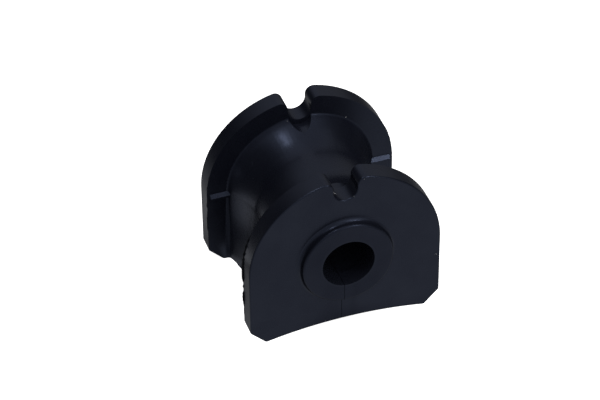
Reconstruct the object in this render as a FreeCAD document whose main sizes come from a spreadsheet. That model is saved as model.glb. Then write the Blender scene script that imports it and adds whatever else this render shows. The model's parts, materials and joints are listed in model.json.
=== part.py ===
import FreeCAD, Part
import enum
import math
import os
import Sketcher

# Sway bar bushing: one moulded rubber block that grips a stabiliser bar.
# Frame: bore axis along Y, +Z up, origin on the bore axis at mid length.

V = FreeCAD.Vector

# Driving dimensions in millimetres: name, value, what it is
SIZES = [
    ("bar_diameter", "16", "bar that the bore grips"),
    ("flange_width", "59", "width of each end flange, twice its top radius"),
    ("foot_drop", "25.5", "bore axis down to the feet"),
    ("foot_chamfer", "4.75", "cut corner beside each foot"),
    ("foot_corner_round", "1", "rounding of the cut corners"),
    ("foot_arch_rise", "2.4", "rise of the hollow base between the feet"),
    ("flange_span", "46", "outer face to outer face of the two flanges"),
    ("flange_thickness", "6", "thickness of each flange"),
    ("rim_round", "0.5", "rounding of the outer rim edge of a flange"),
    ("collar_diameter", "28", "raised collar round the bore"),
    ("collar_height", "2.5", "collar above the flange face"),
    ("collar_root_round", "1.3", "fillet at the root of the collar"),
    ("collar_edge_round", "0.8", "rounding of the collar's free edge"),
    ("shoulder_drop", "6.4", "rim of a flange down to the saddle beside it"),
    ("waist_dip", "4.9", "saddle's fall from the flanges to mid length"),
    ("waist_foot_spread", "2.6", "extra half width of the waist at its foot"),
    ("waist_land", "9", "straight middle of the saddle along the bore"),
    ("waist_foot_land", "12", "the same straight middle below the foot"),
    ("shoulder_round", "1", "fillet between the saddle and a flange"),
    ("foot_shoulder_round", "2.4", "the same fillet where it runs out below the foot"),
    ("notch_width", "7.2", "width of the locating notch in a flange"),
    ("notch_depth", "7.7", "notch floor below the rim"),
    ("notch_mouth_round", "2.5", "rounding of a notch mouth"),
    ("scallop_width", "7.5", "width of the hollow inboard of a notch"),
    ("scallop_depth", "3", "hollow's floor below the shoulder"),
    ("rib_thickness", "1.6", "small rib on the inner face of a flange"),
    ("rib_height", "1.1", "rib above the flange's inner face"),
    ("rib_slope", "1", "slope on the rib's upper edge, as wide as it is high"),
    ("rib_setback", "1", "rib's free end inside the rim"),
    ("lip_length", "6", "gripping lip at each end of the bore"),
    ("relief_depth", "0.4", "bore relief between the lips"),
    ("slit_width", "0.12", "fitting slit from the bore to the base"),
    ("slit_offset", "1.3", "slit beside the middle plane"),
    ("overrun", "2", "how far a cutting profile runs past the rubber"),
]

# Derived sizes, each written once and shared by every feature that needs it
BORE_RADIUS = "Sizes.bar_diameter / 2"
RIM_RADIUS = "Sizes.flange_width / 2"
OUTER_FACE = "Sizes.flange_span / 2"
INNER_FACE = "(Sizes.flange_span / 2 - Sizes.flange_thickness)"
COLLAR_FACE = "(Sizes.flange_span / 2 + Sizes.collar_height)"
CUT_RADIUS = "(Sizes.flange_width / 2 + Sizes.overrun)"
CUT_DROP = "(Sizes.foot_drop + Sizes.overrun)"
FOOT_HALF = "(Sizes.flange_width / 2 - Sizes.foot_chamfer)"
SHOULDER_RADIUS = "(Sizes.flange_width / 2 - Sizes.shoulder_drop)"
WAIST_RADIUS = "(Sizes.flange_width / 2 - Sizes.shoulder_drop - Sizes.waist_dip)"
WAIST_FOOT_HALF = "(%s + Sizes.waist_foot_spread)" % WAIST_RADIUS
NOTCH_FLOOR = "(Sizes.flange_width / 2 - Sizes.notch_depth)"
SCALLOP_FLOOR = "(%s - Sizes.scallop_depth)" % SHOULDER_RADIUS
RELIEF_HALF = "(Sizes.flange_span / 2 + Sizes.collar_height - Sizes.lip_length)"

TOLERANCE = 0.01


class Point(enum.IntEnum):
    """Sketcher's numbers for the points of a curve."""
    START = 1
    END = 2
    CENTRE = 3


class Axis(enum.IntEnum):
    """Sketcher's numbers for a sketch's own axes."""
    X = -1
    Y = -2


START, END, CENTRE = Point.START, Point.END, Point.CENTRE
ORIGIN = (Axis.X, START)


def make_sheet(doc):
    """Write the driving dimensions to the sheet, each under its own alias."""
    sheet = doc.addObject("Spreadsheet::Sheet", "Sizes")
    for row, (alias, size, note) in enumerate(SIZES, start=1):
        sheet.set("A%d" % row, alias)
        sheet.set("B%d" % row, size)
        sheet.set("C%d" % row, note)
        sheet.setAlias("B%d" % row, alias)
    doc.recompute()
    return sheet


def value(expression):
    """Number that an expression on the sheet gives, in millimetres."""
    return float(sheet.evalExpression(expression))


def new_sketch(name, role, height=None):
    """Sketch on an origin plane of the body, lifted off it by an expression."""
    plane = next(p for p in body.Origin.OriginFeatures if p.Role == role)
    sketch = body.newObject("Sketcher::SketchObject", name)
    sketch.AttachmentSupport = [(plane, "")]
    sketch.MapMode = "FlatFace"
    if height is not None:
        sketch.setExpression("AttachmentOffset.Base.z", height)
    return sketch


def add_line(sketch, start, end):
    """Straight stretch of an outline."""
    return sketch.addGeometry(Part.LineSegment(V(*start, 0), V(*end, 0)), False)


def add_arc(sketch, centre, radius, from_angle, to_angle):
    """Round stretch of an outline, anticlockwise between two angles."""
    circle = Part.Circle(V(*centre, 0), V(0, 0, 1), radius)
    return sketch.addGeometry(Part.ArcOfCircle(circle, from_angle, to_angle), False)


def close_loop(sketch, curves):
    """Join each curve's end to the next one's start."""
    for curve, following in zip(curves, curves[1:] + curves[:1]):
        sketch.addConstraint(Sketcher.Constraint("Coincident", curve, END, following, START))


def bind(sketch, name, constraint, expression):
    """Add a dimension and bind it to the sheet."""
    index = sketch.addConstraint(constraint)
    sketch.renameConstraint(index, name)
    sketch.setExpression("Constraints." + name, expression)


def bind_place(sketch, name, kind, point, expression):
    """Bind a point's distance from the origin, on either side of it."""
    place = value(expression)
    if place >= 0:
        bind(sketch, name, Sketcher.Constraint(kind, *ORIGIN, *point, place), expression)
    else:
        bind(sketch, name, Sketcher.Constraint(kind, *point, *ORIGIN, -place), "-(%s)" % expression)


def chord_radius(half_chord, rise):
    """Expression for the radius of an arc from its half chord and its rise."""
    return "((%s) ^ 2 + (%s) ^ 2) / (2 * (%s))" % (half_chord, rise, rise)


def add_rectangle(sketch, tag, left, right, low, high):
    """Rectangle whose four sides are bound to expressions."""
    x0, x1, y0, y1 = value(left), value(right), value(low), value(high)
    corners = [(x0, y0), (x1, y0), (x1, y1), (x0, y1)]
    sides = [add_line(sketch, a, b) for a, b in zip(corners, corners[1:] + corners[:1])]
    close_loop(sketch, sides)
    for side, kind in zip(sides, ["Horizontal", "Vertical", "Horizontal", "Vertical"]):
        sketch.addConstraint(Sketcher.Constraint(kind, side))
    bind_place(sketch, tag + "_left", "DistanceX", (sides[0], START), left)
    bind_place(sketch, tag + "_right", "DistanceX", (sides[1], START), right)
    bind_place(sketch, tag + "_low", "DistanceY", (sides[0], START), low)
    bind_place(sketch, tag + "_high", "DistanceY", (sides[2], START), high)


def draw_outline(sketch):
    """Flange outline: round top, straight sides, cut corners and arched base."""
    radius, drop, chamfer = value(RIM_RADIUS), value("Sizes.foot_drop"), value("Sizes.foot_chamfer")
    half, rise = value(FOOT_HALF), value("Sizes.foot_arch_rise")
    arch_expression = chord_radius(FOOT_HALF, "Sizes.foot_arch_rise")
    arch_radius = value(arch_expression)
    arch_angle = math.asin(half / arch_radius)
    top = add_arc(sketch, (0, 0), radius, 0, math.pi)
    left = add_line(sketch, (-radius, 0), (-radius, chamfer - drop))
    left_cut = add_line(sketch, (-radius, chamfer - drop), (-half, -drop))
    arch = add_arc(sketch, (0, rise - drop - arch_radius), arch_radius,
                   math.pi / 2 - arch_angle, math.pi / 2 + arch_angle)
    right_cut = add_line(sketch, (half, -drop), (radius, chamfer - drop))
    right = add_line(sketch, (radius, chamfer - drop), (radius, 0))
    joints = [(top, END, left, START), (left, END, left_cut, START), (left_cut, END, arch, END),
              (arch, START, right_cut, START), (right_cut, END, right, START), (right, END, top, START)]
    for joint in joints:
        sketch.addConstraint(Sketcher.Constraint("Coincident", *joint))
    sketch.addConstraint(Sketcher.Constraint("Coincident", top, CENTRE, *ORIGIN))
    sketch.addConstraint(Sketcher.Constraint("PointOnObject", top, START, Axis.X))
    sketch.addConstraint(Sketcher.Constraint("PointOnObject", top, END, Axis.X))
    sketch.addConstraint(Sketcher.Constraint("Vertical", left))
    sketch.addConstraint(Sketcher.Constraint("Vertical", right))
    sketch.addConstraint(Sketcher.Constraint("Horizontal", left, END, right, START))
    sketch.addConstraint(Sketcher.Constraint("Symmetric", arch, START, arch, END, Axis.Y))
    bind(sketch, "rim_radius", Sketcher.Constraint("Radius", top, radius), RIM_RADIUS)
    bind(sketch, "arch_radius", Sketcher.Constraint("Radius", arch, arch_radius), arch_expression)
    bind_place(sketch, "foot_half", "DistanceX", (arch, START), FOOT_HALF)
    bind_place(sketch, "foot_level", "DistanceY", (arch, START), "-Sizes.foot_drop")
    bind_place(sketch, "cut_level", "DistanceY", (right, START), "Sizes.foot_chamfer - Sizes.foot_drop")


def draw_slot(sketch, width, floor):
    """Slot with a round floor, open past the rim."""
    half, level = value(width) / 2, value(floor) + value(width) / 2
    top_level = value(CUT_RADIUS)
    bottom = add_arc(sketch, (0, level), half, math.pi, 2 * math.pi)
    right = add_line(sketch, (half, level), (half, top_level))
    top = add_line(sketch, (half, top_level), (-half, top_level))
    left = add_line(sketch, (-half, top_level), (-half, level))
    sketch.addConstraint(Sketcher.Constraint("Tangent", bottom, END, right, START))
    sketch.addConstraint(Sketcher.Constraint("Coincident", right, END, top, START))
    sketch.addConstraint(Sketcher.Constraint("Coincident", top, END, left, START))
    sketch.addConstraint(Sketcher.Constraint("Tangent", left, END, bottom, START))
    sketch.addConstraint(Sketcher.Constraint("Vertical", right))
    sketch.addConstraint(Sketcher.Constraint("Vertical", left))
    sketch.addConstraint(Sketcher.Constraint("Horizontal", top))
    sketch.addConstraint(Sketcher.Constraint("PointOnObject", bottom, CENTRE, Axis.Y))
    bind(sketch, "floor_radius", Sketcher.Constraint("Radius", bottom, half), width + " / 2")
    bind_place(sketch, "floor_centre", "DistanceY", (bottom, CENTRE), "%s + %s / 2" % (floor, width))
    bind_place(sketch, "top_level", "DistanceY", (right, END), CUT_RADIUS)


def draw_hollow(sketch, waist, land, corner):
    """Section of the hollow beside the waist, seen along Z: a straight floor between two coves."""
    low, inner, outside, small = value(waist), value(INNER_FACE), value(CUT_RADIUS), value(corner)
    half = value(land) / 2
    cove_expression = chord_radius("%s - %s / 2" % (INNER_FACE, land), "%s - %s" % (SHOULDER_RADIUS, waist))
    large = value(cove_expression)
    reach = inner - half - small
    turn = math.asin(reach / (large - small))
    corner_x = low + large - math.sqrt((large - small) ** 2 - reach ** 2)
    far_cove = add_arc(sketch, (low + large, half), large, math.pi - turn, math.pi)
    floor = add_line(sketch, (low, half), (low, -half))
    near_cove = add_arc(sketch, (low + large, -half), large, math.pi, math.pi + turn)
    near_round = add_arc(sketch, (corner_x, small - inner), small, math.pi + turn, 1.5 * math.pi)
    near = add_line(sketch, (corner_x, -inner), (outside, -inner))
    side = add_line(sketch, (outside, -inner), (outside, inner))
    far = add_line(sketch, (outside, inner), (corner_x, inner))
    far_round = add_arc(sketch, (corner_x, inner - small), small, math.pi / 2, math.pi - turn)
    for smooth in [(far_cove, floor), (floor, near_cove), (near_cove, near_round), (near_round, near),
                   (far, far_round), (far_round, far_cove)]:
        sketch.addConstraint(Sketcher.Constraint("Tangent", smooth[0], END, smooth[1], START))
    for sharp in [(near, side), (side, far)]:
        sketch.addConstraint(Sketcher.Constraint("Coincident", sharp[0], END, sharp[1], START))
    for level in [near, far]:
        sketch.addConstraint(Sketcher.Constraint("Horizontal", level))
    for upright in [floor, side]:
        sketch.addConstraint(Sketcher.Constraint("Vertical", upright))
    sketch.addConstraint(Sketcher.Constraint("Equal", near_cove, far_cove))
    sketch.addConstraint(Sketcher.Constraint("Equal", near_round, far_round))
    bind(sketch, "cove_curve", Sketcher.Constraint("Radius", near_cove, large), cove_expression)
    bind(sketch, "corner_round", Sketcher.Constraint("Radius", near_round, small), corner)
    bind_place(sketch, "floor_level", "DistanceX", (floor, START), waist)
    bind_place(sketch, "floor_far", "DistanceY", (floor, START), land + " / 2")
    bind_place(sketch, "floor_near", "DistanceY", (floor, END), "-%s / 2" % land)
    bind_place(sketch, "near_face", "DistanceY", (near, START), "-" + INNER_FACE)
    bind_place(sketch, "far_face", "DistanceY", (far, START), INNER_FACE)
    bind_place(sketch, "outside", "DistanceX", (side, START), CUT_RADIUS)


def draw_circle(sketch, radius):
    """Circle round the bore axis."""
    circle = sketch.addGeometry(Part.Circle(V(0, 0, 0), V(0, 0, 1), value(radius)), False)
    sketch.addConstraint(Sketcher.Constraint("Coincident", circle, CENTRE, *ORIGIN))
    bind(sketch, "radius", Sketcher.Constraint("Radius", circle, value(radius)), radius)


def extrude(kind, name, sketch, length=None, both_ways=True):
    """Pad or pocket from a sketch, over a length or through all."""
    before = body.Shape.Volume if body.Tip else 0.0
    feature = body.newObject("PartDesign::" + kind, name)
    feature.Profile = sketch
    feature.SideType = "Symmetric" if both_ways else "One side"
    if length is None:
        feature.Type = "ThroughAll"
    else:
        feature.setExpression("Length", length)
    return finish(feature, before, grows=(kind == "Pad"))


def revolve_cut(name, sketch, axis, angle):
    """Groove round one of the sketch's own axes, over the top where it isn't a full turn."""
    before = body.Shape.Volume
    feature = body.newObject("PartDesign::Groove", name)
    feature.Profile = sketch
    feature.ReferenceAxis = (sketch, [axis])
    feature.Angle = angle
    feature.Reversed = True
    return finish(feature, before, grows=False)


def dress_edges(name, wanted, size, count, kind="Fillet", driver="Radius"):
    """Fillet or chamfer the edges of the body's tip that a test picks."""
    base = body.Tip
    names = ["Edge%d" % (i + 1) for i, edge in enumerate(base.Shape.Edges) if wanted(edge)]
    if len(names) < count:
        raise RuntimeError("%s: %d edges found, at least %d wanted" % (name, len(names), count))
    before = base.Shape.Volume
    feature = body.newObject("PartDesign::" + kind, name)
    feature.Base = (base, names)
    feature.setExpression(driver, size)
    doc.recompute()
    if abs(feature.Shape.Volume - before) < TOLERANCE:
        raise RuntimeError(name + ": it changed nothing")
    return feature


def finish(feature, before, grows):
    """Recompute a feature and check that it added or removed material."""
    doc.recompute()
    change = feature.Shape.Volume - before
    if (change if grows else -change) < TOLERANCE:
        raise RuntimeError(feature.Name + ": the volume didn't change as it should")
    return feature


def samples(edge):
    """Points along an edge, its ends among them."""
    first, last = edge.ParameterRange
    return [edge.valueAt(first + (last - first) * part / 4) for part in range(5)]


def along_bore(edge):
    """True for a straight edge that runs parallel to the bore axis."""
    ends = samples(edge)
    across = math.hypot(ends[0].x - ends[-1].x, ends[0].z - ends[-1].z)
    return across < TOLERANCE and abs(ends[0].y - ends[-1].y) > TOLERANCE


def lies_at(edge, face):
    """True for an edge in the plane of either end's face."""
    return all(abs(abs(point.y) - face) < TOLERANCE for point in samples(edge))


def is_foot_corner(edge):
    """Edges along Y at the ends of the cut corners."""
    level = value("Sizes.foot_chamfer - Sizes.foot_drop")
    return along_bore(edge) and samples(edge)[0].z < level + TOLERANCE


def is_notch_mouth(edge):
    """Edges along Y where the notch walls meet the rim."""
    point = samples(edge)[0]
    on_wall = abs(abs(point.x) - value("Sizes.notch_width / 2")) < TOLERANCE
    on_rim = abs(math.hypot(point.x, point.z) - value(RIM_RADIUS)) < TOLERANCE
    return along_bore(edge) and on_wall and on_rim and point.z > 0


def is_rim(edge):
    """Outline edges of the outer faces, the notch outline with them."""
    return lies_at(edge, value(OUTER_FACE))


def is_rib_edge(edge):
    """Upper long edges of the ribs, on their sides towards mid length."""
    points = samples(edge)
    length = abs(points[0].x - points[-1].x)
    crest = value("%s - Sizes.rib_height" % INNER_FACE)
    on_top = all(abs(p.z - value("Sizes.rib_thickness / 2")) < TOLERANCE for p in points)
    return length > value("Sizes.rib_thickness") and on_top and lies_at(edge, crest)


def is_collar_edge(face, edge):
    """Circles of the collar in the given face."""
    radius = value("Sizes.collar_diameter / 2")
    round_it = all(abs(math.hypot(p.x, p.z) - radius) < TOLERANCE for p in samples(edge))
    return round_it and lies_at(edge, face)


def build_block():
    """Notched block with cut corners and rounded rims."""
    outline = new_sketch("flange_outline", "XZ_Plane")
    draw_outline(outline)
    extrude("Pad", "block", outline, "Sizes.flange_span")
    notch = new_sketch("notch_outline", "XZ_Plane")
    draw_slot(notch, "Sizes.notch_width", NOTCH_FLOOR)
    extrude("Pocket", "notches", notch)
    dress_edges("notch_mouths", is_notch_mouth, "Sizes.notch_mouth_round", 2)
    dress_edges("foot_corners", is_foot_corner, "Sizes.foot_corner_round", 4)
    dress_edges("rims", is_rim, "Sizes.rim_round", 2)


def build_collars():
    """Raised collar round the bore on each outer face."""
    circle = new_sketch("collar_outline", "XZ_Plane")
    draw_circle(circle, "Sizes.collar_diameter / 2")
    extrude("Pad", "collars", circle, "2 * " + COLLAR_FACE)
    dress_edges("collar_roots", lambda e: is_collar_edge(value(OUTER_FACE), e), "Sizes.collar_root_round", 2)
    dress_edges("collar_edges", lambda e: is_collar_edge(value(COLLAR_FACE), e), "Sizes.collar_edge_round", 2)


def build_waist():
    """Hourglass saddle: revolved over the bore, drawn down beside it."""
    upper = new_sketch("hollow_at_axis", "XY_Plane")
    draw_hollow(upper, WAIST_RADIUS, "Sizes.waist_land", "Sizes.shoulder_round")
    revolve_cut("waist_top", upper, "V_Axis", 180)
    lower = new_sketch("hollow_at_foot", "XY_Plane", "-" + CUT_DROP)
    draw_hollow(lower, WAIST_FOOT_HALF, "Sizes.waist_foot_land", "Sizes.foot_shoulder_round")
    before = body.Shape.Volume
    flank = body.newObject("PartDesign::SubtractiveLoft", "waist_flank")
    flank.Profile = upper
    flank.Sections = [(lower, [""])]
    flank.Ruled = True
    finish(flank, before, grows=False)
    before = flank.Shape.Volume
    mirror = body.newObject("PartDesign::Mirrored", "waist_flanks")
    mirror.Originals = [flank]
    mirror.MirrorPlane = (next(p for p in body.Origin.OriginFeatures if p.Role == "YZ_Plane"), [""])
    body.Tip = mirror
    finish(mirror, before, grows=False)


def build_ribs():
    """Short rib on the inner face of each flange, level with the bore axis."""
    sketch = new_sketch("rib_outlines", "XY_Plane")
    root, tip = "%s - Sizes.rib_height" % SHOULDER_RADIUS, "%s - Sizes.rib_setback" % RIM_RADIUS
    low, high = "%s - Sizes.rib_height" % INNER_FACE, "%s + Sizes.flange_thickness / 2" % INNER_FACE
    add_rectangle(sketch, "right_far", root, tip, low, high)
    add_rectangle(sketch, "right_near", root, tip, "-(%s)" % high, "-(%s)" % low)
    add_rectangle(sketch, "left_far", "-(%s)" % tip, "-(%s)" % root, low, high)
    add_rectangle(sketch, "left_near", "-(%s)" % tip, "-(%s)" % root, "-(%s)" % high, "-(%s)" % low)
    extrude("Pad", "ribs", sketch, "Sizes.rib_thickness")
    dress_edges("rib_slopes", is_rib_edge, "Sizes.rib_slope", 4, "Chamfer", "Size")


def build_scallops():
    """Hollow in the flare just inboard of each notch."""
    sketch = new_sketch("scallop_outline", "XZ_Plane")
    draw_slot(sketch, "Sizes.scallop_width", SCALLOP_FLOOR)
    extrude("Pocket", "scallops", sketch, "2 * " + INNER_FACE)


def build_bore():
    """Bore with a gripping lip at each end, and the fitting slit below it."""
    circle = new_sketch("bore_outline", "XZ_Plane")
    draw_circle(circle, BORE_RADIUS)
    extrude("Pocket", "bore", circle)
    relief = new_sketch("relief_section", "YZ_Plane")
    add_rectangle(relief, "relief", "-" + RELIEF_HALF, RELIEF_HALF,
                  BORE_RADIUS + " / 2", BORE_RADIUS + " + Sizes.relief_depth")
    revolve_cut("bore_relief", relief, "H_Axis", 360)
    slit = new_sketch("slit_outline", "XY_Plane")
    add_rectangle(slit, "slit", "-Sizes.slit_offset - Sizes.slit_width / 2",
                  "-Sizes.slit_offset + Sizes.slit_width / 2",
                  "-(%s + Sizes.overrun)" % COLLAR_FACE, "%s + Sizes.overrun" % COLLAR_FACE)
    extrude("Pocket", "slit", slit, both_ways=False)


def check_document():
    """Stop before anything is written if an object failed."""
    for item in doc.Objects:
        if "Invalid" in item.State or "Error" in item.State:
            raise RuntimeError("failed: " + item.Name)
    if body.Shape.isNull() or not body.Shape.isValid() or len(body.Shape.Solids) != 1:
        raise RuntimeError("the bushing isn't one valid solid")


os.makedirs("parts", exist_ok=True)
doc = FreeCAD.newDocument("sway_bar_bushing")
sheet = make_sheet(doc)
body = doc.addObject("PartDesign::Body", "Bushing")
body.Label = "bushing"

build_block()
build_collars()
build_waist()
build_ribs()
build_scallops()
build_bore()
doc.recompute()
check_document()
body.Shape.exportStep("parts/%s.step" % body.Label)
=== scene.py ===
"""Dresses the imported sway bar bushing: its moulded rubber, the mould's flash, floor, lights and camera."""

import json
import logging
import math
import random
from dataclasses import dataclass
from enum import Enum

import bmesh
import bpy
from mathutils import Matrix, Quaternion, Vector, noise
from mathutils.bvhtree import BVHTree

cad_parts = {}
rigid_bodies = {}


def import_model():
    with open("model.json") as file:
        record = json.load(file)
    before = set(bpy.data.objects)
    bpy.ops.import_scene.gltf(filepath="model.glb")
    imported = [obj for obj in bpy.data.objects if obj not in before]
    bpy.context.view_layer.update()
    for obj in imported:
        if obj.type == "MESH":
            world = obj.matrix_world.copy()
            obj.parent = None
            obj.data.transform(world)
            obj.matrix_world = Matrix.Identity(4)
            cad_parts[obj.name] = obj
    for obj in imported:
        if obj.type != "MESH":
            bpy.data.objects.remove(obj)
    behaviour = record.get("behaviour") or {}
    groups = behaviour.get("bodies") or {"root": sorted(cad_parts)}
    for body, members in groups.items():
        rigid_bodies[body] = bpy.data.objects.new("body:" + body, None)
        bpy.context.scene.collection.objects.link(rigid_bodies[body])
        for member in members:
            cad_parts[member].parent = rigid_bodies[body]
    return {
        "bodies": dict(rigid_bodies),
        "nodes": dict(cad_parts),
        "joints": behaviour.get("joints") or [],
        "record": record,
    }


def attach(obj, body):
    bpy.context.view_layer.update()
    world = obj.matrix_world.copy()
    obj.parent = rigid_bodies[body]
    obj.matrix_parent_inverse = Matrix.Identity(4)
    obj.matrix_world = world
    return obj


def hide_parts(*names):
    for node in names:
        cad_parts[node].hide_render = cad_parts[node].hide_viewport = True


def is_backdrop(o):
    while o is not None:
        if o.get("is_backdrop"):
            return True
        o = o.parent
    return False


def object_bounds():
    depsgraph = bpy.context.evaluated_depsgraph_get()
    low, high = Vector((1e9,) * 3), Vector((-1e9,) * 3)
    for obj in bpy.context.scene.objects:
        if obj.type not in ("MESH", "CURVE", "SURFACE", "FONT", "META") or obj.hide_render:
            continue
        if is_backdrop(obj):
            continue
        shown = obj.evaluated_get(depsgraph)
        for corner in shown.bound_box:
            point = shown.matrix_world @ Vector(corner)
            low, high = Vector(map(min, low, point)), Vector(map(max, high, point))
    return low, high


log = logging.getLogger("sway_bar_bushing")

MM = 0.001
PHOTO_WIDTH_PX = 600
PHOTO_HEIGHT_PX = 400


def linked(name: str, data: bpy.types.ID) -> bpy.types.Object:
    """New object of the scene with this name and data."""
    made = bpy.data.objects.new(name, data)
    bpy.context.scene.collection.objects.link(made)
    return made


class Operation(Enum):
    """Math node operations that the finishes use."""

    ADD = "ADD"
    SUBTRACT = "SUBTRACT"
    MULTIPLY = "MULTIPLY"
    POWER = "POWER"
    ABSOLUTE = "ABSOLUTE"
    MINIMUM = "MINIMUM"
    MAXIMUM = "MAXIMUM"


class Signal:
    """A number that changes over the surface, held as a node's output socket."""

    def __init__(self, board: "NodeBoard", socket: bpy.types.NodeSocket) -> None:
        """Keep the socket and the board that its nodes are added to.

        Args:
            board: node tree helper of the material.
            socket: output socket that carries the number.
        """
        self.board = board
        self.socket = socket

    def _apply(self, operation: Operation, left: "Value", right: "Value | None" = None) -> "Signal":
        """Add one Math node.

        Args:
            operation: what the node does.
            left: first value, a signal or a number.
            right: second value, or None where the operation takes one.

        Returns:
            The node's result.
        """
        values = {0: left} if right is None else {0: left, 1: right}
        node = self.board.node("ShaderNodeMath", {"operation": operation.value}, values)
        return Signal(self.board, node.outputs[0])

    def __add__(self, other: "Value") -> "Signal":
        """Sum."""
        return self._apply(Operation.ADD, self, other)

    __radd__ = __add__

    def __sub__(self, other: "Value") -> "Signal":
        """Difference."""
        return self._apply(Operation.SUBTRACT, self, other)

    def __rsub__(self, other: "Value") -> "Signal":
        """Difference with the signal on the right."""
        return self._apply(Operation.SUBTRACT, other, self)

    def __mul__(self, other: "Value") -> "Signal":
        """Product."""
        return self._apply(Operation.MULTIPLY, self, other)

    def __pow__(self, other: "Value") -> "Signal":
        """Power."""
        return self._apply(Operation.POWER, self, other)

    def __abs__(self) -> "Signal":
        """Size without its sign."""
        return self._apply(Operation.ABSOLUTE, self)

    def least(self, other: "Value") -> "Signal":
        """Smaller of two values."""
        return self._apply(Operation.MINIMUM, self, other)

    def most(self, other: "Value") -> "Signal":
        """Larger of two values."""
        return self._apply(Operation.MAXIMUM, self, other)

    def band(self, low: float, high: float) -> "Signal":
        """Smooth step from 0 at low to 1 at high, or down where low is the larger.

        Args:
            low: value that gives 0.
            high: value that gives 1.

        Returns:
            The stepped signal.
        """
        turned = low > high
        settings = {"interpolation_type": "SMOOTHSTEP"}
        values = {"Value": self, "From Min": min(low, high), "From Max": max(low, high)}
        node = self.board.node("ShaderNodeMapRange", settings, values)
        step = Signal(self.board, node.outputs["Result"])
        return 1 - step if turned else step


Value = Signal | float


class NodeBoard:
    """Node tree of one material or world, with one way to add a node."""

    def __init__(self, block: bpy.types.Material | bpy.types.World) -> None:
        """Start with an empty tree.

        Args:
            block: the material or world that the nodes are for.
        """
        self.block = block
        block.use_nodes = True
        self.tree = block.node_tree
        self.tree.nodes.clear()

    @classmethod
    def of_material(cls, name: str) -> "NodeBoard":
        """Board of a new material with this name."""
        return cls(bpy.data.materials.new(name))

    def node(
        self,
        kind: str,
        settings: dict | None = None,
        values: dict | None = None,
    ) -> bpy.types.Node:
        """Add a node, set its options, then its sockets.

        Args:
            kind: the node's type.
            settings: options of the node, set before its sockets.
            values: socket name or number, and a signal, a socket or a plain value.

        Returns:
            The new node.
        """
        made = self.tree.nodes.new(kind)
        for option, choice in (settings or {}).items():
            setattr(made, option, choice)
        for key, value in (values or {}).items():
            source = value.socket if isinstance(value, Signal) else value
            if isinstance(source, bpy.types.NodeSocket):
                self.tree.links.new(source, made.inputs[key])
            else:
                made.inputs[key].default_value = source
        return made

    def place(self) -> bpy.types.NodeSocket:
        """Position on the object in metres."""
        return self.node("ShaderNodeTexCoord").outputs["Object"]

    def parts(self, vector: bpy.types.NodeSocket) -> tuple[Signal, Signal, Signal]:
        """Three components of a vector.

        Args:
            vector: socket that carries it.

        Returns:
            Its X, Y and Z.
        """
        split = self.node("ShaderNodeSeparateXYZ", None, {0: vector})
        return tuple(Signal(self, out) for out in split.outputs)

    def noise(self, per_metre: float, detail: float) -> Signal:
        """Cloudy noise between 0 and 1 over the object.

        Args:
            per_metre: features to a metre.
            detail: finer layers on top.

        Returns:
            The noise.
        """
        values = {"Vector": self.place(), "Scale": per_metre, "Detail": detail}
        return Signal(self, self.node("ShaderNodeTexNoise", None, values).outputs[0])

    def relief(self, height: Signal, strength: float, depth: float) -> bpy.types.NodeSocket:
        """Normal of a surface with a fine relief.

        Args:
            height: the relief.
            strength: how strongly it shows.
            depth: its depth in metres.

        Returns:
            Socket of the normal.
        """
        values = {"Strength": strength, "Distance": depth, "Height": height}
        return self.node("ShaderNodeBump", None, values).outputs[0]

    def principled(self, values: dict) -> bpy.types.NodeSocket:
        """Shader socket of a Principled BSDF with these values."""
        return self.node("ShaderNodeBsdfPrincipled", None, values).outputs[0]

    def blend(self, share: Signal, first: tuple, second: tuple) -> bpy.types.NodeSocket:
        """Colour between two others.

        Args:
            share: 0 for the first, 1 for the second.
            first: colour with alpha.
            second: colour with alpha.

        Returns:
            Socket of the mixed colour.
        """
        settings = {"data_type": "RGBA"}
        values = {"Factor": share, 6: first, 7: second}
        return self.node("ShaderNodeMix", settings, values).outputs[2]

    def finish(self, shader: bpy.types.NodeSocket) -> bpy.types.Material:
        """Join a shader to the output.

        Args:
            shader: the surface's shader socket.

        Returns:
            The finished material.
        """
        self.node("ShaderNodeOutputMaterial", None, {"Surface": shader})
        return self.block


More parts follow.
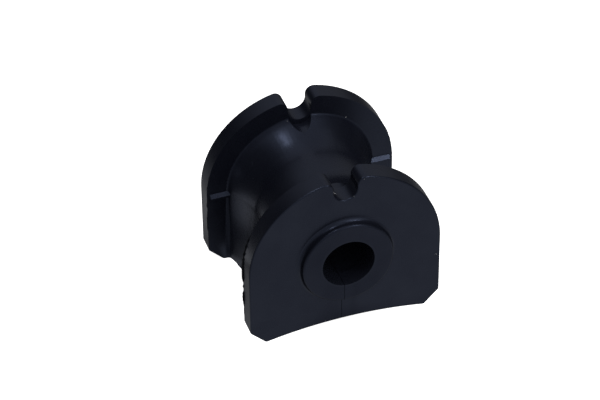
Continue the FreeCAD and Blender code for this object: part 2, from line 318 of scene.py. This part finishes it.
@dataclass(frozen=True)
class RubberFinish:
    """Black moulded rubber: a matt body under a thin, patchy, blue-tinted gloss.

    The gloss is weaker on the collars' faces. Weaker gloss in the fillets of the shoulders and beside the
    slit is painted shade, and the paler base colour in the bore is painted light. Each pair of distances
    runs from no effect to full effect.
    """

    name: str = "moulded_rubber"
    base: tuple = (0.0050, 0.0057, 0.0100, 1)
    # pale tone of the random mottling, and painted light that fills the bore
    pale_mottle_and_bore_light: tuple = (0.0072, 0.0082, 0.0130, 1)
    matt_roughness: float = 0.9
    gloss_tint: tuple = (0.54, 0.65, 1.0, 1)
    gloss_level: float = 0.85
    gloss_roughness: float = 0.28
    gloss_share: float = 0.26
    patchiness: float = 0.045
    clouds_per_metre: float = 90
    cloud_band: tuple = (0.2, 0.9)
    grain_per_metre: float = 2600
    grain_share: float = 0.35
    ripples_per_metre: float = 160
    relief_strength: float = 0.2
    relief_depth: float = 0.05 * MM
    bore_edge: tuple = (8.8 * MM, 8.5 * MM)
    collar_edge: tuple = (14.5 * MM, 14.3 * MM)
    collar_level: tuple = (23.3 * MM, 23.9 * MM)
    collar_loss: float = 0.07
    # the band of lost gloss along the slit is painted shade of a shallow valley there
    slit_side: float = 2.2 * MM
    slit_shade_width: float = 2.2 * MM
    slit_drop: tuple = (0.0, -14.3 * MM)
    slit_painted_shade: float = 0.04
    # the lost gloss in the shoulders' fillets is painted shade over their reflection
    shoulder_start: tuple = (15.2 * MM, 16.3 * MM)
    shoulder_end: tuple = (17.0 * MM, 16.85 * MM)
    shoulder_painted_shade: float = 0.12
    rib_level: tuple = (0.8 * MM, 1.1 * MM)

    def lost_gloss(self, across: Signal, along: Signal, up: Signal) -> Signal:
        """Share of the gloss that is missing at a place: less on the collars' faces, and painted shade
        beside the slit and in the shoulders' fillets.

        Args:
            across: X of the place.
            along: Y of the place.
            up: Z of the place.

        Returns:
            The loss.
        """
        radius = (across * across + up * up) ** 0.5
        from_middle = abs(along)
        collar = radius.band(*self.collar_edge) * from_middle.band(*self.collar_level)
        # painted shade along the slit
        slit = abs(across - self.slit_side).band(self.slit_shade_width, 0) * up.band(*self.slit_drop)
        # painted shade in the shoulders' fillets, except beside the ribs
        shoulder = from_middle.band(*self.shoulder_start) * from_middle.band(*self.shoulder_end)
        beside_ribs = abs(up).band(*self.rib_level)
        loss = collar * self.collar_loss + slit * self.slit_painted_shade
        return loss + shoulder * beside_ribs * self.shoulder_painted_shade

    def make(self) -> bpy.types.Material:
        """Build the material.

        Returns:
            The rubber.
        """
        board = NodeBoard.of_material(self.name)
        across, along, up = board.parts(board.place())
        clouds = board.noise(self.clouds_per_metre, 3).band(*self.cloud_band)
        # painted light: the whole bore takes the paler base colour
        in_bore = ((across * across + up * up) ** 0.5).band(*self.bore_edge)
        grain = board.noise(self.grain_per_metre, 2) * self.grain_share
        ripples = board.noise(self.ripples_per_metre, 2)
        normal = board.relief(grain + ripples, self.relief_strength, self.relief_depth)
        unevenness = (clouds - 0.5) * self.patchiness
        matt = {
            "Base Color": board.blend(clouds.most(in_bore), self.base, self.pale_mottle_and_bore_light),
            "Roughness": self.matt_roughness,
            "Specular IOR Level": 0.0,
            "Normal": normal,
        }
        gloss = {
            "Base Color": (0, 0, 0, 1),
            "Roughness": self.gloss_roughness + unevenness,
            "Specular IOR Level": self.gloss_level,
            "Specular Tint": self.gloss_tint,
            "Normal": normal,
        }
        share = self.gloss_share + unevenness - self.lost_gloss(across, along, up)
        sides = {0: share, 1: board.principled(matt), 2: board.principled(gloss)}
        return board.finish(board.node("ShaderNodeMixShader", None, sides).outputs[0])


@dataclass(frozen=True)
class ClumpedFinish:
    """Rough material in two tones that mix in clumps, with a fine grain."""

    name: str
    dark: tuple
    light: tuple
    clumps_per_metre: float
    clump_band: tuple
    grain_per_metre: float
    grain_detail: float
    relief_strength: float
    relief_depth: float
    roughness: float
    sheen: float

    def make(self) -> bpy.types.Material:
        """Build the material.

        Returns:
            The finished material.
        """
        board = NodeBoard.of_material(self.name)
        clumps = board.noise(self.clumps_per_metre, 2).band(*self.clump_band)
        grain = board.noise(self.grain_per_metre, self.grain_detail)
        values = {
            "Base Color": board.blend(clumps, self.dark, self.light),
            "Roughness": self.roughness,
            "Specular IOR Level": self.sheen,
            "Normal": board.relief(grain, self.relief_strength, self.relief_depth),
        }
        return board.finish(board.principled(values))


@dataclass(frozen=True)
class TornFinish(ClumpedFinish):
    """Torn edge of the mould's flash: the same rubber without its gloss."""

    name: str = "torn_rubber"
    dark: tuple = (0.0030, 0.0032, 0.0045, 1)
    light: tuple = (0.0100, 0.0105, 0.0125, 1)
    clumps_per_metre: float = 700
    clump_band: tuple = (0.45, 0.7)
    grain_per_metre: float = 5000
    grain_detail: float = 3
    relief_strength: float = 0.4
    relief_depth: float = 0.04 * MM
    roughness: float = 0.85
    sheen: float = 0.12


@dataclass(frozen=True)
class DustAndPaintedGlintFinish(ClumpedFinish):
    """Pale dust and worn rubber crumbs, lighter in places; the same pale specks also stand as painted
    highlights on lit edges.
    """

    name: str = "pale_dust_and_painted_glint"
    dark: tuple = (0.05, 0.05, 0.055, 1)
    light: tuple = (0.42, 0.42, 0.43, 1)
    clumps_per_metre: float = 900
    clump_band: tuple = (0.3, 0.6)
    grain_per_metre: float = 9000
    grain_detail: float = 2
    relief_strength: float = 0.3
    relief_depth: float = 0.02 * MM
    roughness: float = 0.8
    sheen: float = 0.3


@dataclass(frozen=True)
class FloorFinish:
    """Plain pale studio paper."""

    name: str = "pale_paper"
    colour: tuple = (0.82, 0.82, 0.82, 1)
    roughness: float = 0.9
    glow: float = 0.80

    def make(self) -> bpy.types.Material:
        """Build the material.

        Returns:
            The paper.
        """
        board = NodeBoard.of_material(self.name)
        values = {
            "Base Color": self.colour,
            "Roughness": self.roughness,
            "Specular IOR Level": 0.0,
            "Emission Color": (1, 1, 1, 1),
            "Emission Strength": self.glow,
        }
        return board.finish(board.principled(values))


@dataclass(frozen=True)
class BounceFinish:
    """Light that the table throws back at the bushing, strongest in front of it.

    Behind the front part lie a paler back part, a strip beside each foot, one under the rear end of the
    waist and a round patch at the left. Each pair of distances runs from no effect to full effect,
    apart from the patch's middle.
    """

    name: str = "bounce_light"
    front: float = 0.98
    beside: float = 0.12
    behind: float = 0.76
    spread: float = 0.4
    spread_to: float = 52 * MM
    front_edge: tuple = (-18 * MM, -36 * MM)
    back_edge: tuple = (8 * MM, 36 * MM)
    skew: float = 12 * MM
    wings: tuple = (48 * MM, 78 * MM)
    wing_loss: float = 0.40
    fade: tuple = (135 * MM, 45 * MM)
    foot_glow_left: float = 0.58
    foot_glow_right: float = 1.0
    foot_change: tuple = (0.0, 10 * MM)
    foot_start: tuple = (21 * MM, 32 * MM)
    foot_edge: tuple = (54 * MM, 44 * MM)
    foot_end: tuple = (21 * MM, 13 * MM)
    heel_glow: float = 1.0
    heel_edge: tuple = (26 * MM, 23.5 * MM)
    heel_start: tuple = (9 * MM, 13 * MM)
    heel_end: tuple = (21 * MM, 17 * MM)
    patch_glow: float = 1.7
    patch_middle: tuple = (-52 * MM, 35 * MM)
    patch_edge: tuple = (20 * MM, 12 * MM)

    def make(self) -> bpy.types.Material:
        """Build the material.

        Returns:
            The glow of the card.
        """
        board = NodeBoard.of_material(self.name)
        across, along, _ = board.parts(board.place())
        side = abs(across)
        in_front = (along - side.least(self.spread_to) * self.spread).band(*self.front_edge)
        wings = abs(across - self.skew).band(*self.wings)
        front = in_front * self.front * (1 - wings * self.wing_loss)
        back = along.band(*self.back_edge) * side.band(*self.fade)
        more_right = self.foot_glow_right - self.foot_glow_left
        foot_glow = across.band(*self.foot_change) * more_right + self.foot_glow_left
        foot = side.band(*self.foot_start) * side.band(*self.foot_edge)
        foot = foot * along.band(*self.foot_end) * foot_glow
        heel = along.band(*self.heel_start) * along.band(*self.heel_end)
        heel = heel * side.band(*self.heel_edge) * self.heel_glow
        over = across - self.patch_middle[0]
        beyond = along - self.patch_middle[1]
        patch = ((over * over + beyond * beyond) ** 0.5).band(*self.patch_edge) * self.patch_glow
        rest = (back * (self.behind - self.beside)).most(foot).most(heel).most(patch) + self.beside
        values = {"Color": front + (1 - in_front) * rest, "Strength": 1.0}
        return board.finish(board.node("ShaderNodeEmission", None, values).outputs[0])


@dataclass(frozen=True)
class SaddleCurve:
    """Profile of the saddle along the bore: a straight middle and a round cove at each side."""

    straight: float
    radius: float

    def rise(self, along: float) -> float:
        """Height over the straight middle, at a distance from mid length."""
        run = max(0.0, abs(along) - self.straight)
        return self.radius - math.sqrt(self.radius**2 - run**2)


@dataclass
class MouldedBlock:
    """The bushing itself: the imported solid's surface, welded, eased at its flanks and smoothed."""

    node: str = "bushing"
    weld: float = 0.002 * MM
    crease: float = 32.0
    shading_weight: int = 50
    drawn: SaddleCurve = SaddleCurve(4.5 * MM, 18.4 * MM)
    eased: SaddleCurve = SaddleCurve(2.25 * MM, 24.6 * MM)
    flank_half: float = 16.2 * MM
    flank_reach: tuple = (15.0 * MM, 26.5 * MM)
    ease_from: float = 14.0 * MM
    ease_full: float = 2.0 * MM
    least_facing: float = 0.3

    def build(self, frame: dict, rubber: bpy.types.Material) -> bpy.types.Object:
        """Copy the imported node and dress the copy.

        Args:
            rubber: the block's material.

        Returns:
            The piece that stands for the node.
        """
        packed = frame["nodes"][self.node].data
        mesh = bpy.data.meshes.new("rubber_block")
        mesh.from_pydata([v.co for v in packed.vertices], [], [f.vertices[:] for f in packed.polygons])
        form = bmesh.new()
        form.from_mesh(mesh)
        bmesh.ops.remove_doubles(form, verts=form.verts, dist=self.weld)
        self.ease_flanks(form)
        form.to_mesh(mesh)
        form.free()
        mesh.materials.append(rubber)
        mesh.shade_smooth()
        mesh.set_sharp_from_angle(angle=math.radians(self.crease))
        piece = linked("rubber_block", mesh)
        even = piece.modifiers.new("even_shading", "WEIGHTED_NORMAL")
        even.mode = "FACE_AREA"
        even.weight = self.shading_weight
        even.keep_sharp = True
        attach(piece, "root")
        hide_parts(self.node)
        return piece

    def ease_flanks(self, form: bmesh.types.BMesh) -> None:
        """Fill the flanks' coves by up to 0.4 mm, as soft rubber settles out of the mould.

        Args:
            form: the block's mesh.
        """
        form.normal_update()
        drop = self.ease_from - self.ease_full
        for vert in form.verts:
            outward = Vector((vert.co.x, 0, max(vert.co.z, 0)))
            between_flanges = abs(vert.co.y) <= self.flank_half
            if not between_flanges or not self.flank_reach[0] < outward.length < self.flank_reach[1]:
                continue
            outward.normalize()
            share = max(0.0, min(1.0, (self.ease_from - vert.co.z) / drop))
            if vert.normal.dot(outward) > self.least_facing:
                fill = self.eased.rise(vert.co.y) - self.drawn.rise(vert.co.y)
                vert.co += outward * fill * share * share * (3 - 2 * share)

    def surface(self, piece: bpy.types.Object) -> BVHTree:
        """Surface of the built piece, for finding places on it."""
        places = [vertex.co for vertex in piece.data.vertices]
        return BVHTree.FromPolygons(places, [face.vertices[:] for face in piece.data.polygons])


EdgePlace = tuple[Vector, Vector, Vector]


@dataclass(frozen=True)
class FlashFin:
    """Thin ragged fin of rubber that the mould's joint leaves along an edge."""

    name: str
    low: float
    high: float
    seed: float
    depth: float = 0.35 * MM
    root: float = 0.16 * MM
    tip: float = 0.05 * MM
    waves: float = 190.0
    full_below: float = 7 * MM
    fall: float = 9 * MM
    least_above: float = 0.15
    thin_below: float = -12 * MM
    thin_fall: float = 3.6 * MM
    least_below: float = 0.4
    mean: float = 0.72
    coarse: float = 0.8
    fine: float = 0.6
    fine_scale: float = 4.3
    sharpness: float = 1.6
    taper_steps: int = 6

    def height(self, spot: Vector) -> float:
        """Height of the fin over its edge, ragged, lower towards the top and the same in every run.

        Args:
            spot: place on the edge.

        Returns:
            The height in metres.
        """
        where = spot * self.waves + Vector((self.seed, 0, 0))
        swing = self.coarse * noise.noise(where) + self.fine * noise.noise(where * self.fine_scale)
        ragged = min(1.0, max(0.0, self.mean + swing)) ** self.sharpness
        above = max(self.least_above, min(1.0, 1 - (spot.z - self.full_below) / self.fall))
        below = max(self.least_below, min(1.0, 1 + (spot.z - self.thin_below) / self.thin_fall))
        return self.low + (self.high - self.low) * ragged * above * below

    def build(self, edge: list[EdgePlace], look: bpy.types.Material) -> bpy.types.Object:
        """Draw the fin along an edge.

        Args:
            edge: places on the edge, each with its outward and sideways directions.
            look: the fin's material.

        Returns:
            The fin, closed all round.
        """
        verts, faces = [], []
        ring = ((0, 1), (1, 2), (2, 3), (3, 0))
        last = len(edge) - 1
        for step, (spot, outward, sideways) in enumerate(edge):
            taper = min(1.0, step / self.taper_steps, (last - step) / self.taper_steps)
            top = spot + outward * self.height(spot) * taper
            bottom = spot - outward * self.depth
            half_root, half_tip = sideways * self.root / 2, sideways * self.tip / 2
            verts += [bottom - half_root, bottom + half_root, top + half_tip, top - half_tip]
            if step:
                here, there = 4 * (step - 1), 4 * step
                faces += [(here + k, here + n, there + n, there + k) for k, n in ring]
        faces += [(3, 2, 1, 0), (4 * last, 4 * last + 1, 4 * last + 2, 4 * last + 3)]
        mesh = bpy.data.meshes.new(self.name)
        mesh.from_pydata(verts, [], faces)
        mesh.materials.append(look)
        fin = linked(self.name, mesh)
        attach(fin, "root")
        return fin


@dataclass
class MouldFlash:
    """Flash of the mould: along both flanges' inner edges and the saddle's two feet."""

    rim: float = 29.42 * MM
    inner_face: float = 17.3 * MM
    notch_angle: float = 14.0
    side_end: float = -20.0 * MM
    foot_level: float = -24.7 * MM
    foot_reach: float = 14.5 * MM
    foot_least: float = 19 * MM
    foot_lean: tuple = (0.3, 0.954)
    foot_sink: float = 0.05 * MM
    foot_heights: tuple = (0.45 * MM, 0.68 * MM)
    outside: float = 40 * MM
    rim_seed: float = 3.0
    foot_seed: float = 7.0
    pace: float = 0.4 * MM

    def flange_edge(self, left: int, rear: int) -> list[EdgePlace]:
        """Inner edge of one flange from its notch down to its foot.

        Args:
            left: -1 for the left side, 1 for the right one.
            rear: -1 for the front flange, 1 for the rear one.

        Returns:
            Places with their outward and sideways directions.
        """
        sideways = Vector((0, 1, 0))
        edge = []
        start = math.radians(self.notch_angle)
        arc_steps = int(self.rim * (math.pi / 2 - start) / self.pace)
        for step in range(arc_steps):
            angle = start + (math.pi / 2 - start) * step / arc_steps
            outward = Vector((left * math.sin(angle), 0, math.cos(angle)))
            edge.append((outward * self.rim + sideways * rear * self.inner_face, outward, sideways))
        side_steps = int(-self.side_end / self.pace)
        for step in range(side_steps + 1):
            spot = Vector((left * self.rim, rear * self.inner_face, self.side_end * step / side_steps))
            edge.append((spot, Vector((left, 0, 0)), sideways))
        return edge

    def foot_edge(self, left: int, tree: BVHTree) -> list[EdgePlace]:
        """Lower edge of the saddle's flank on one side.

        Args:
            left: -1 for the left side, 1 for the right one.
            tree: the block's surface.

        Returns:
            Places with their outward and sideways directions.
        """
        edge = []
        steps = int(2 * self.foot_reach / self.pace)
        lean, drop = self.foot_lean
        outward = Vector((left * lean, 0, -drop))
        sideways = Vector((drop, 0, left * lean))
        inwards = Vector((-left, 0, 0))
        for step in range(steps + 1):
            along = self.foot_reach * (2 * step / steps - 1)
            start = Vector((left * self.outside, along, self.foot_level))
            hit = tree.ray_cast(start, inwards)[0]
            if hit is not None and abs(hit.x) > self.foot_least:
                edge.append((hit + inwards * self.foot_sink, outward, sideways))
        return edge

    @property
    def rim_heights(self) -> dict[tuple[int, int], float]:
        """Height of the highest flash, for the front (-1) or rear (1) and left (-1) or right (1)."""
        return {(-1, -1): 0.55 * MM, (-1, 1): 0.30 * MM, (1, -1): 0.24 * MM, (1, 1): 0.24 * MM}

    def build(
        self,
        tree: BVHTree,
        rubber: bpy.types.Material,
        torn: bpy.types.Material,
    ) -> list[bpy.types.Object]:
        """Draw every fin.

        Args:
            tree: the block's surface.
            rubber: the block's material, for the fins at the foot.
            torn: torn rubber, for the fins round the flanges.

        Returns:
            The fins.
        """
        fins = []
        for side, left in (("left", -1), ("right", 1)):
            for end, rear in (("front", -1), ("rear", 1)):
                height = self.rim_heights[rear, left]
                fin = FlashFin(f"flash_{end}_{side}", 0.0, height, self.rim_seed * left + rear)
                fins.append(fin.build(self.flange_edge(left, rear), torn))
            foot = FlashFin(f"flash_foot_{side}", *self.foot_heights, self.foot_seed * left)
            fins.append(foot.build(self.foot_edge(left, tree), rubber))
        return fins


@dataclass(frozen=True)
class Speck:
    """Crumb or raised scuff of the photo, from one of its pixels to another."""

    start: tuple
    end: tuple
    width: float


@dataclass
class Crumbs:
    """Specks and scuffs that show in the photo and a thin, seeded scatter of rubber crumbs."""

    # the pale specks are partly dust and partly painted highlights on lit edges of the rubber
    specks: tuple = (
        Speck((345.4, 117.0), (346.6, 117.2), 0.38 * MM),
        Speck((435.8, 253.4), (436.4, 254.6), 0.28 * MM),
        # painted highlight on the left edge of the front notch's mouth
        Speck((333.2, 192.2), (333.8, 193.0), 0.18 * MM),
        # painted highlight on the rounded corner of the front notch's mouth
        Speck((364.2, 179.0), (365.0, 179.4), 0.20 * MM),
        Speck((353.6, 196.2), (354.4, 196.8), 0.18 * MM),
        Speck((286.8, 120.6), (287.4, 121.6), 0.20 * MM),
        Speck((292.2, 126.6), (292.8, 127.4), 0.18 * MM),
    )
    scuffs: tuple = (
        Speck((357.6, 128.6), (358.6, 131.4), 0.30 * MM),
        Speck((258.5, 329.6), (264.5, 329.9), 0.26 * MM),
        Speck((252.0, 158.5), (252.2, 167.5), 0.22 * MM),
        Speck((252.2, 177.2), (253.8, 178.8), 0.30 * MM),
        Speck((347.0, 224.6), (351.0, 224.0), 0.16 * MM),
    )
    scattered: int = 90
    seed: int = 11
    reach: tuple = (28 * MM, 22.5 * MM, 60 * MM)
    sizes: tuple = (0.04 * MM, 0.12 * MM)
    spread: tuple = (1.5, 1.0, 0.7)
    least_level: float = 0.35
    speck_seed: float = 5.0
    lump_mean: float = 0.75
    lump_swing: float = 0.55
    lump_scale: float = 1.4
    flat_below: float = -0.25

    def add(self, form: bmesh.types.BMesh, pose: Matrix, size: tuple, seed: float) -> None:
        """Add one crumb: a lumpy grain, flat below where it sticks to the rubber.

        Args:
            form: mesh that gathers the crumbs.
            pose: place and turn, with Z away from the rubber.
            size: half sizes along X, Y and Z.
            seed: choice of the lumps.
        """
        made = bmesh.ops.create_icosphere(form, subdivisions=1, radius=1)
        for vert in made["verts"]:
            where = vert.co * self.lump_scale + Vector((seed, 0, 0))
            lump = self.lump_mean + self.lump_swing * noise.noise(where)
            level = max(vert.co.z, self.flat_below)
            grain = Vector((vert.co.x * size[0], vert.co.y * size[1], level * size[2]))
            vert.co = pose @ (grain * lump)

    def piece(self, name: str, form: bmesh.types.BMesh, material: bpy.types.Material) -> bpy.types.Object:
        """Turn the gathered crumbs into one piece.

        Args:
            name: name of the piece.
            form: the crumbs' mesh, freed here.
            material: what they are made of.

        Returns:
            The piece.
        """
        mesh = bpy.data.meshes.new(name)
        form.to_mesh(mesh)
        form.free()
        mesh.materials.append(material)
        made = linked(name, mesh)
        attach(made, "root")
        return made

    def lay(
        self,
        name: str,
        specks: tuple,
        tree: BVHTree,
        camera: "PhotoCamera",
        look: bpy.types.Material,
    ) -> bpy.types.Object:
        """Lay specks of the photo on the rubber behind their pixels.

        Args:
            name: name of the piece.
            specks: the specks.
            tree: the block's surface.
            camera: the fitted camera.
            look: the specks' material.

        Returns:
            The specks.
        """
        form = bmesh.new()
        for number, speck in enumerate(specks):
            first, normal, _, _ = tree.ray_cast(*camera.ray(speck.start))
            second = tree.ray_cast(*camera.ray(speck.end))[0]
            if first is None or second is None:
                log.warning("%s: number %d lies beside the block", name, number)
                continue
            run = (second - first).normalized()
            over = normal.cross(run).normalized()
            pose = Matrix((over.cross(normal), over, normal)).transposed().to_4x4()
            pose.translation = (first + second) / 2
            length = max((second - first).length, speck.width)
            size = (length / 2, speck.width / 2, speck.width / 3)
            self.add(form, pose, size, self.speck_seed * number)
        return self.piece(name, form, look)

    def scatter(self, tree: BVHTree, rubber: bpy.types.Material) -> bpy.types.Object:
        """Drop rubber crumbs on what faces up.

        Args:
            tree: the block's surface.
            rubber: the block's material.

        Returns:
            The crumbs.
        """
        chance = random.Random(self.seed)
        form = bmesh.new()
        for number in range(self.scattered):
            across = chance.uniform(-1, 1) * self.reach[0]
            along = chance.uniform(-1, 1) * self.reach[1]
            above = Vector((across, along, self.reach[2]))
            grain = chance.uniform(*self.sizes)
            turn = chance.uniform(0, math.pi)
            spot, normal, _, _ = tree.ray_cast(above, Vector((0, 0, -1)))
            if spot is None or normal.z < self.least_level:
                continue
            upright = normal.to_track_quat("Z", "Y").to_matrix().to_4x4()
            pose = upright @ Matrix.Rotation(turn, 4, "Z")
            pose.translation = spot
            self.add(form, pose, tuple(grain * share for share in self.spread), float(number))
        return self.piece("rubber_crumbs", form, rubber)

    def build(
        self,
        tree: BVHTree,
        camera: "PhotoCamera",
        dust: bpy.types.Material,
        rubber: bpy.types.Material,
    ) -> list[bpy.types.Object]:
        """Make the specks, the scuffs and the scattered crumbs.

        Args:
            tree: the block's surface.
            camera: the fitted camera.
            dust: the specks' material, pale dust that also paints highlights.
            rubber: the block's material.

        Returns:
            The pieces.
        """
        specks = self.lay("dust_and_painted_glint_specks", self.specks, tree, camera, dust)
        scuffs = self.lay("rubber_scuffs", self.scuffs, tree, camera, rubber)
        return [specks, scuffs, self.scatter(tree, rubber)]


@dataclass(frozen=True)
class Lamp:
    """One soft oblong lamp, aimed at the bushing from a direction round it."""

    name: str
    azimuth: float
    elevation: float
    distance: float
    width: float
    height: float
    watts: float
    turn: float = 0.0

    def hang(self) -> bpy.types.Object:
        """Put the lamp in its place.

        Returns:
            The lamp.
        """
        light = bpy.data.lights.new(self.name, "AREA")
        light.shape = "RECTANGLE"
        light.size = self.width
        light.size_y = self.height
        light.energy = self.watts
        lamp = linked(self.name, light)
        away = direction(self.azimuth, self.elevation)
        lamp.location = away * self.distance
        lamp.rotation_mode = "QUATERNION"
        turned = Quaternion((0, 0, 1), math.radians(self.turn))
        lamp.rotation_quaternion = away.to_track_quat("Z", "Y") @ turned
        lamp.visible_camera = False
        return lamp


def direction(azimuth: float, elevation: float) -> Vector:
    """Unit vector from the bushing outwards.

    Args:
        azimuth: degrees round the bushing, 0 in front of it and 90 to its right.
        elevation: degrees above the horizon.

    Returns:
        The vector.
    """
    turn, rise = math.radians(azimuth), math.radians(elevation)
    return Vector((math.sin(turn) * math.cos(rise), -math.cos(turn) * math.cos(rise), math.sin(rise)))


@dataclass(frozen=True)
class Wall:
    """One soft wall of the light tent: full within one angle from its middle, gone beyond another."""

    azimuth: float
    elevation: float
    full: float
    gone: float
    strength: float


@dataclass(frozen=True)
class LightTent:
    """Soft white tent round the table, with dark gaps to the left and the right."""

    name: str = "light_tent"
    walls: tuple = (
        Wall(150, 67, 30, 52, 0.92),
        Wall(2, 30, 31, 65, 0.77),
        Wall(12, 75, 19, 52, 1.08),
        Wall(162, 32, 18, 52, 0.64),
        Wall(195, 67, 0, 29, 1.26),
    )
    glare: Wall = Wall(28, 24, 2, 24, 1.55)
    dusk: float = 0.04

    def pitch(self) -> bpy.types.World:
        """Put the tent round the scene.

        Returns:
            The world that glows like the tent.
        """
        world = bpy.data.worlds.new(self.name)
        board = NodeBoard(world)
        towards = board.node("ShaderNodeTexCoord").outputs["Generated"]
        glow = self.shine(board, towards, self.walls[0])
        for wall in self.walls[1:]:
            glow = glow.most(self.shine(board, towards, wall))
        glow = glow + self.shine(board, towards, self.glare) + self.dusk
        light = board.node("ShaderNodeBackground", None, {"Color": (1, 1, 1, 1), "Strength": glow})
        board.node("ShaderNodeOutputWorld", None, {"Surface": light.outputs[0]})
        bpy.context.scene.world = world
        return world

    def shine(self, board: NodeBoard, towards: bpy.types.NodeSocket, wall: Wall) -> Signal:
        """Light of one wall.

        Args:
            board: node tree of the world.
            towards: direction looked into.
            wall: the wall.

        Returns:
            Its radiance in that direction.
        """
        settings = {"operation": "DOT_PRODUCT"}
        values = {0: towards, 1: direction(wall.azimuth, wall.elevation)}
        near = Signal(board, board.node("ShaderNodeVectorMath", settings, values).outputs["Value"])
        rim, core = math.cos(math.radians(wall.gone)), math.cos(math.radians(wall.full))
        return near.band(rim, core) * wall.strength


@dataclass
class Studio:
    """Pale floor, unseen bounce card, light tent and three soft lamps."""

    floor_reach: float = 3.0
    lamps: tuple = (
        Lamp("strip_lamp", 285, 74, 0.78, 0.36, 0.05, 1.4, -20.7),
        Lamp("key_lamp", 38, 43, 0.90, 0.36, 0.12, 0.5, 12.0),
        Lamp("near_lamp", 40.0, 45.5, 0.15, 0.02, 0.02, 0.028),
    )

    def sheet(self, name: str, level: float, material: bpy.types.Material) -> bpy.types.Object:
        """Large level sheet round the bushing.

        Args:
            name: name of the object.
            level: height of the sheet.
            material: what it is made of.

        Returns:
            The sheet, which isn't part of the object.
        """
        reach = self.floor_reach
        mesh = bpy.data.meshes.new(name)
        outline = [(-reach, -reach), (reach, -reach), (reach, reach), (-reach, reach)]
        mesh.from_pydata([(x, y, level) for x, y in outline], [], [(0, 1, 2, 3)])
        mesh.materials.append(material)
        made = linked(name, mesh)
        made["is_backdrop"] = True
        return made

    def build(self, ground: float, paper: bpy.types.Material, bounce: bpy.types.Material) -> None:
        """Lay the floor and the card, pitch the tent and hang the lamps.

        Args:
            ground: height of the bushing's feet.
            paper: the floor's material.
            bounce: light that the rubber gets from the floor.
        """
        floor = self.sheet("floor", ground, paper)
        floor.visible_diffuse = False
        floor.visible_glossy = False
        card = self.sheet("bounce_card", ground, bounce)
        card.visible_camera = False
        card.visible_shadow = False
        LightTent().pitch()
        for lamp in self.lamps:
            lamp.hang()


@dataclass
class PhotoCamera:
    """Camera that the outlines of the photo were fitted to."""

    azimuth: float = -18.8616
    elevation: float = 39.7391
    roll: float = -0.6997
    distance: float = 0.80320
    focal_px: float = 2714.94
    sensor_mm: float = 36.0
    aim: tuple = (-4.703 * MM, 3.716 * MM, 2.410 * MM)
    clip: tuple = (0.01, 20.0)

    def pose(self) -> Matrix:
        """Place and turn of the camera."""
        back = direction(self.azimuth, self.elevation)
        level = Vector((0, 0, 1)).cross(back).normalized()
        turn = Matrix.Rotation(math.radians(self.roll), 3, back)
        right = turn @ level
        up = back.cross(right)
        pose = Matrix((right, up, back)).transposed().to_4x4()
        pose.translation = Vector(self.aim) + back * self.distance
        return pose

    def ray(self, pixel: tuple) -> tuple[Vector, Vector]:
        """Ray from the camera through a pixel of the photo.

        Args:
            pixel: its place across and down.

        Returns:
            Start and direction of the ray.
        """
        across = (pixel[0] - PHOTO_WIDTH_PX / 2) / self.focal_px
        down = (pixel[1] - PHOTO_HEIGHT_PX / 2) / self.focal_px
        pose = self.pose()
        return pose.translation, (pose.to_3x3() @ Vector((across, -down, -1))).normalized()

    def place(self) -> bpy.types.Object:
        """Set the camera up and make it the scene's own.

        Returns:
            The camera.
        """
        lens = bpy.data.cameras.new("photo_camera")
        lens.sensor_width = self.sensor_mm
        lens.lens = self.focal_px / PHOTO_WIDTH_PX * self.sensor_mm
        lens.clip_start, lens.clip_end = self.clip
        camera = linked("photo_camera", lens)
        camera.matrix_world = self.pose()
        bpy.context.scene.camera = camera
        return camera


def main() -> None:
    """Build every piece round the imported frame."""
    logging.basicConfig(level=logging.INFO, format="%(name)s: %(message)s")
    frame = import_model()
    cad_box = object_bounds()
    ground = cad_box[0].z
    bpy.context.scene.view_settings.view_transform = "Standard"
    camera = PhotoCamera()
    camera.place()
    log.info("camera placed")
    Studio().build(ground, FloorFinish().make(), BounceFinish().make())
    log.info("studio built")
    rubber = RubberFinish().make()
    moulded = MouldedBlock()
    block = moulded.build(frame, rubber)
    log.info("rubber block: %d faces", len(block.data.polygons))
    surface = moulded.surface(block)
    for fin in MouldFlash().build(surface, rubber, TornFinish().make()):
        log.info("%s: %d faces", fin.name, len(fin.data.polygons))
    for made in Crumbs().build(surface, camera, DustAndPaintedGlintFinish().make(), rubber):
        log.info("%s: %d faces", made.name, len(made.data.polygons))


if __name__ == "__main__":
    main()
